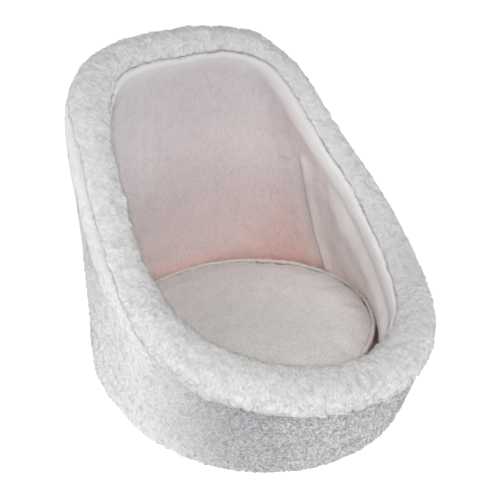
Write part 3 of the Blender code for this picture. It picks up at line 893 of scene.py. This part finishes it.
# the lining's pile turns a greyer white towards the roll, further down on the padded sides: partly whiter pile, partly
# painted shade beside the roll
side = np.minimum(ls.s, 1 - ls.s)
side = smooth(side, 0.04, 0.10) * (1 - smooth(side, 0.23, 0.30))
down = np.asarray(length).reshape(-1, 1) * (np.arange(M_LINE) / (M_LINE - 1.0))[None, :] + 5.0 * noise(g, 24, 96)
white = 0.85 * (1 - smooth((down - 8.0) / (26.0 + 44.0 * side)[:, None], 0.0, 1.0))
lining = closed_ring("lining", g2, back, lining_mat, {"rim": white})
nap_n = grid_normals(g2, True)
if (nap_n * n).sum(-1).mean() < 0:
    nap_n = -nap_n
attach(lining, "tub"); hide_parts("wall_lining", "back_lining")
fuzz = fibres("lining_fibres", g2, nap_n, (3, M_LINE - 10), 44000, 2.7, 0.26, (0.25, 0.0), lining_mat, 221,
              marks={"rim": white})
fuzz.visible_shadow = False
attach(fuzz, "tub")

# =============================================================== hidden foam between shell and lining
N_FOAM = 120
fs = Stations(np.arange(N_FOAM) / N_FOAM)
outer_face, _ = resample(shell_path(fs, -4.5)[:, 8:46], 10)
inner_face, _ = resample(lining_path(fs, 8.5)[:, 8:], 10)
foam = closed_ring("wall_padding", outer_face, inner_face, foam_mat)
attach(foam, "tub"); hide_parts("wall_foam", "back_foam")


# =============================================================== flat panels: floor and base
def disc(name, outline, normals, rings, top, bottom, mat, relief=None):
    """A thin closed panel: rings from the middle out, over the edge and back under."""
    centre = outline.mean(axis=0)
    k = len(outline)
    rows, heights = [], []
    for f in rings:
        rows.append(centre + (outline - centre) * f)
        heights.append(top)
    count = len(rows)
    for f in rings[::-1][::4]:
        rows.append(centre + (outline - centre) * f)
        heights.append(bottom)
    v = np.concatenate([np.column_stack([r, np.full(k, h)]) for r, h in zip(rows, heights)])
    if relief is not None:
        v[:count * k, 2] += relief(v[:count * k])
    m = len(rows)
    faces = []
    i = np.arange(k)
    j = (i + 1) % k
    for a in range(m - 1):
        faces.append(np.stack([a * k + i, a * k + j, (a + 1) * k + j, (a + 1) * k + i], axis=1))
    faces = np.concatenate(faces)
    hub_top, hub_low = len(v), len(v) + 1
    v = np.vstack([v, [[*centre, top + (relief(np.array([[*centre, top]]))[0] if relief is not None else 0)],
                       [*centre, bottom]]])
    mesh = bpy.data.meshes.new(name)
    polys = [tuple(int(x) for x in f) for f in faces]
    polys += [(hub_top, int(b), int(a)) for a, b in zip(i, j)]
    last = (m - 1) * k
    polys += [(hub_low, int(last + a), int(last + b)) for a, b in zip(i, j)]
    mesh.from_pydata([tuple(x * MM) for x in v], [], polys)
    mesh.update()
    pile = mesh.attributes.new("pile", "FLOAT", "POINT")
    pile.data.foreach_set("value", (0.5 + 0.4 * noise(v, 4.0, 71)).astype(np.float32))
    if sum(p.normal.z for p in mesh.polygons[:k]) < 0:
        mesh.flip_normals()
    mesh.shade_smooth()
    mesh.materials.append(mat)
    obj = bpy.data.objects.new(name, mesh)
    collection.objects.link(obj)
    return obj


share = np.arange(300) / 300
edge, nrm = egg(share, **FLOOR)
floor_panel = disc("floor_panel", edge - nrm * 0.6, nrm, list(np.linspace(0.03, 1.0, 60)), FLOOR_Z, 40.6, lining_mat,
                   relief=lambda v: np.minimum(0.0, -0.3 + 0.25 * noise(v, 9, 73)))
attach(floor_panel, "tub"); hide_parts("floor_lining")
edge, nrm = egg(share, **BASE)
base_edge = edge - nrm * 32.0
base_panel = disc("base_panel", base_edge, nrm, list(np.linspace(0.03, 1.0, 40)), 2.2, 0.0, base_mat)
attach(base_panel, "tub"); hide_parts("base_fabric")

# =============================================================== loose cushion
CUSHION = dict(half_width=172.0, reach=161.5, middle=31.5, power=1.98)
SEAM_Z, UNDER_Z = 69.0, 43.2


def cushion_mesh(name, grid):
    """A pillow blank: two round-cornered square grids mapped to the cut's outline and sewn at the edge."""
    k = np.linspace(-1, 1, grid)
    x, y = np.meshgrid(k, k, indexing="ij")
    # square to disc
    dx = x * np.sqrt(1 - y * y / 2)
    dy = y * np.sqrt(1 - x * x / 2)
    rad = np.minimum(np.hypot(dx, dy), 1.0)
    a = np.arctan2(dy, dx)
    pw = CUSHION["power"]
    lim = (np.abs(np.cos(a)) ** pw + np.abs(np.sin(a)) ** pw) ** (-1 / pw)
    px = CUSHION["half_width"] * rad * lim * np.cos(a)
    py = CUSHION["middle"] + CUSHION["reach"] * rad * lim * np.sin(a)
    return px, py, rad


def pillow(name):
    grid = 93
    px, py, rad = cushion_mesh(name, grid)
    top = SEAM_Z + 6.5 * np.clip(1 - rad ** 14, 0, 1) ** 0.55 + 3.0 * (1 - rad ** 2)
    low = SEAM_Z - (SEAM_Z - UNDER_Z - 1.0) * np.clip(1 - rad ** 10, 0, 1) ** 0.6
    index_top = np.arange(grid * grid).reshape(grid, grid)
    boundary = np.zeros((grid, grid), bool)
    boundary[0], boundary[-1], boundary[:, 0], boundary[:, -1] = True, True, True, True
    index_low = index_top.copy()
    index_low[~boundary] = grid * grid + np.arange((~boundary).sum())
    verts = np.concatenate([np.stack([px, py, top], -1).reshape(-1, 3),
                            np.stack([px, py, low], -1)[~boundary]])
    faces = []
    for idx, flip in ((index_top, False), (index_low, True)):
        f = np.stack([idx[:-1, :-1], idx[1:, :-1], idx[1:, 1:], idx[:-1, 1:]], -1).reshape(-1, 4)
        faces.append(f[:, ::-1] if flip else f)
    obj = mesh_object(name, verts, np.concatenate(faces), cushion_mat)
    edge_ids = np.concatenate([index_top[:-1, 0], index_top[-1, :-1], index_top[1:, -1][::-1], index_top[0, 1:][::-1]])
    return obj, edge_ids, grid * grid


def simulate_pillow(obj, edge_ids):
    """Cloth with inner pressure over the floor of the tub; the moved points are returned, each move capped at 6 mm."""
    scene = bpy.context.scene
    rest = np.empty(len(obj.data.vertices) * 3, np.float32)
    obj.data.vertices.foreach_get("co", rest)
    rest = rest.reshape(-1, 3).astype(float)
    cloth = obj.modifiers.new("cloth", "CLOTH")
    s = cloth.settings
    s.quality = 6
    s.mass = 0.3
    s.tension_stiffness = s.compression_stiffness = 12
    s.shear_stiffness = 6
    s.bending_stiffness = 0.6
    s.use_pressure = True
    s.uniform_pressure_force = 3.2
    s.effector_weights.gravity = 0.0
    cloth.collision_settings.use_collision = False
    cloth.collision_settings.use_self_collision = False
    scene.frame_start, scene.frame_end = 1, 20
    for f in range(1, 21):
        scene.frame_set(f)
    dg = bpy.context.evaluated_depsgraph_get()
    ev = obj.evaluated_get(dg)
    co = np.empty(len(ev.data.vertices) * 3, np.float32)
    ev.data.vertices.foreach_get("co", co)
    co = co.reshape(-1, 3).astype(float)
    obj.modifiers.remove(cloth)
    scene.frame_set(1)
    move = co - rest
    far = np.linalg.norm(move, axis=1, keepdims=True)
    cap = 0.006
    move = move * np.minimum(1.0, cap / np.maximum(far, 1e-9))
    return (rest + move) / MM


cushion, edge_ids, n_top = pillow("cushion")
co = simulate_pillow(cushion, edge_ids)
# the underside is pressed flat onto the floor of the tub
ang = np.arctan2((co[:, 1] - CUSHION["middle"]) / CUSHION["reach"], co[:, 0] / CUSHION["half_width"])
pw = CUSHION["power"]
reach = (np.abs(co[:, 0] / CUSHION["half_width"]) ** pw
         + np.abs((co[:, 1] - CUSHION["middle"]) / CUSHION["reach"]) ** pw) ** (1 / pw)
co[:, 2] = np.where(co[:, 2] < UNDER_Z + 6, UNDER_Z + 6 * (1 - np.exp(-(np.maximum(co[:, 2] - UNDER_Z + 6, 0.01)) / 6)) * 0.5, co[:, 2])
co[:, 2] = np.clip(co[:, 2], UNDER_Z, 90.0)
cushion.data.vertices.foreach_set("co", (co * MM).astype(np.float32).ravel())
cushion.data.update()
sub = cushion.modifiers.new("subdivision", "SUBSURF")
sub.levels = sub.render_levels = 1
dg = bpy.context.evaluated_depsgraph_get()
fine_mesh = bpy.data.meshes.new_from_object(cushion.evaluated_get(dg))
cushion.modifiers.clear()
cushion.data = fine_mesh
v = np.empty(len(fine_mesh.vertices) * 3, np.float32)
fine_mesh.vertices.foreach_get("co", v)
v = v.reshape(-1, 3).astype(float) / MM
vn = np.empty(len(fine_mesh.vertices) * 3, np.float32)
fine_mesh.vertices.foreach_get("normal", vn)
vn = vn.reshape(-1, 3).astype(float)
nap = fbm(v, 6.0, 2, 81)
fine = noise(v, 2.6, 82)
soft = 0.8 * noise(v, 40, 83)
above = smooth(v[:, 2], UNDER_Z + 1, UNDER_Z + 8)
v = v + vn * ((0.45 * nap + 0.22 * fine + soft) * above)[:, None]
fine_mesh.vertices.foreach_set("co", (v * MM).astype(np.float32).ravel())
old = fine_mesh.attributes.get("pile")
if old is None:
    old = fine_mesh.attributes.new("pile", "FLOAT", "POINT")
old.data.foreach_set("value", (0.5 + 0.3 * nap + 0.2 * fine).astype(np.float32))
fine_mesh.update()
fine_mesh.shade_smooth()
# the sewn edge stands out as a thin fuzzy rim
N_EDGE, M_EDGE = 620, 12
a_edge = np.arange(N_EDGE) / N_EDGE * 2 * math.pi
lim = (np.abs(np.cos(a_edge)) ** pw + np.abs(np.sin(a_edge)) ** pw) ** (-1 / pw)
rim_x = (CUSHION["half_width"] - 1.2) * lim * np.cos(a_edge)
rim_y = CUSHION["middle"] + (CUSHION["reach"] - 1.2) * lim * np.sin(a_edge)
centre = np.column_stack([rim_x, rim_y, np.full(N_EDGE, SEAM_Z + 1.0)])
centre[:, 2] += 0.8 * noise(centre, 35, 95)
out = np.column_stack([np.cos(a_edge), np.sin(a_edge), 0 * a_edge])
b_edge = np.arange(M_EDGE) / M_EDGE * 2 * math.pi
ring = (centre[:, None] + 2.6 * np.cos(b_edge)[None, :, None] * out[:, None]
        + 2.9 * np.sin(b_edge)[None, :, None] * np.array([0, 0, 1.0]))
ring_n = np.cos(b_edge)[None, :, None] * out[:, None] + np.sin(b_edge)[None, :, None] * np.array([0, 0, 1.0])
ring = ring + ring_n * (0.9 * noise(ring, 4.5, 96) + 0.7 * noise(ring, 2.2, 97))[..., None]
rim = mixed_object("cushion_edge", ring.reshape(-1, 3), [ring_faces(N_EDGE, M_EDGE)], cushion_mat)
for piece in (cushion, rim):                                   # each gets a mesh of its own; it is squeezed to pass the walls
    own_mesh(piece)
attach(rim, "cushion")
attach(cushion, "cushion")
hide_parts("cushion_top_cover", "cushion_bottom_cover", "cushion_filling")

# hidden foam slab between the base cloth and the floor of the tub
edge, nrm = egg(share, **FLOOR)
slab = disc("base_padding", edge - nrm * 4.0, nrm, list(np.linspace(0.1, 1.0, 20)), 39.6, 3.0, foam_mat)
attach(slab, "tub"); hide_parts("base_foam")

# =============================================================== stage, light and camera
scene = bpy.context.scene
bpy.ops.mesh.primitive_plane_add(size=12.0, location=(0, 0, -0.0004))
stage_floor = bpy.context.object
stage_floor.name = "studio_floor"
mat = bpy.data.materials.new("studio_floor")
mat.use_nodes = True
bsdf = mat.node_tree.nodes["Principled BSDF"]
bsdf.inputs["Base Color"].default_value = (0.86, 0.86, 0.86, 1)
bsdf.inputs["Roughness"].default_value = 1.0
bsdf.inputs["Specular IOR Level"].default_value = 0.0
bsdf.inputs["Emission Color"].default_value = (1, 1, 1, 1)
far = add(mat.node_tree, "ShaderNodeVectorMath", operation="LENGTH")
mat.node_tree.links.new(add(mat.node_tree, "ShaderNodeTexCoord").outputs["Object"], far.inputs[0])
glow = add(mat.node_tree, "ShaderNodeMapRange", interpolation_type="SMOOTHSTEP")
for key, value in (("From Min", 0.25), ("From Max", 0.62), ("To Min", 0.95), ("To Max", 1.0)):
    glow.inputs[key].default_value = value
mat.node_tree.links.new(far.outputs["Value"], glow.inputs["Value"])
mat.node_tree.links.new(glow.outputs["Result"], bsdf.inputs["Emission Strength"])
stage_floor.data.materials.append(mat)

world = bpy.data.worlds.new("studio")
scene.world = world
world.use_nodes = True
nt = world.node_tree
bg = nt.nodes["Background"]
bg.inputs["Color"].default_value = (1, 1, 1, 1)
bg.inputs["Strength"].default_value = 0.0
seen = add(nt, "ShaderNodeLightPath")
nt.links.new(seen.outputs["Is Camera Ray"], bg.inputs["Strength"])   # a white backdrop that lights nothing


def soft_box(name, azimuth, elevation, power):
    """A round studio light 2.6 m from the bed; azimuth 0 in front, 90 on the right."""
    a, e = math.radians(azimuth), math.radians(elevation)
    place = Vector((math.sin(a) * math.cos(e) * 2.6, -math.cos(a) * math.cos(e) * 2.6, math.sin(e) * 2.6 + 0.2))
    light = bpy.data.lights.new(name, "AREA")
    light.shape = "DISK"
    light.size = 1.8
    light.energy = power
    obj = bpy.data.objects.new(name, light)
    scene.collection.objects.link(obj)
    obj.location = place
    obj.rotation_mode = "QUATERNION"
    obj.rotation_quaternion = (Vector((0, 0, 0.2)) - place).to_track_quat("-Z", "Y")
    return obj


soft_box("low_right", 78, 14, 16.0)
soft_box("low_left", -132, 15, 7.0)
soft_box("high_left", -105, 45, 20.5)
soft_box("high_left_front", -45, 45, 6.5)
soft_box("high_front", -15, 45, 29.5)
soft_box("top", 0, 88, 6.0)

cam_data = bpy.data.cameras.new("camera")
cam_data.sensor_width = 36.0
cam_data.lens = 869.43 * 36.0 / 500.0
cam = bpy.data.objects.new("camera", cam_data)
scene.collection.objects.link(cam)
az, el, ro = math.radians(-33.0), math.radians(28.63), math.radians(-1.21)
back_v = Vector((math.sin(az) * math.cos(el), -math.cos(az) * math.cos(el), math.sin(el)))
right_v = Vector((math.cos(az), math.sin(az), 0.0))
up_v = back_v.cross(right_v)
r2 = right_v * math.cos(ro) + up_v * math.sin(ro)
u2 = -right_v * math.sin(ro) + up_v * math.cos(ro)
place = Vector((0.00104, 0.01333, 0.18438)) + back_v * 1.04754
m = Matrix((r2, u2, back_v)).transposed().to_4x4()
m.translation = place
cam.matrix_world = m
scene.camera = cam
scene.view_settings.view_transform = "Standard"
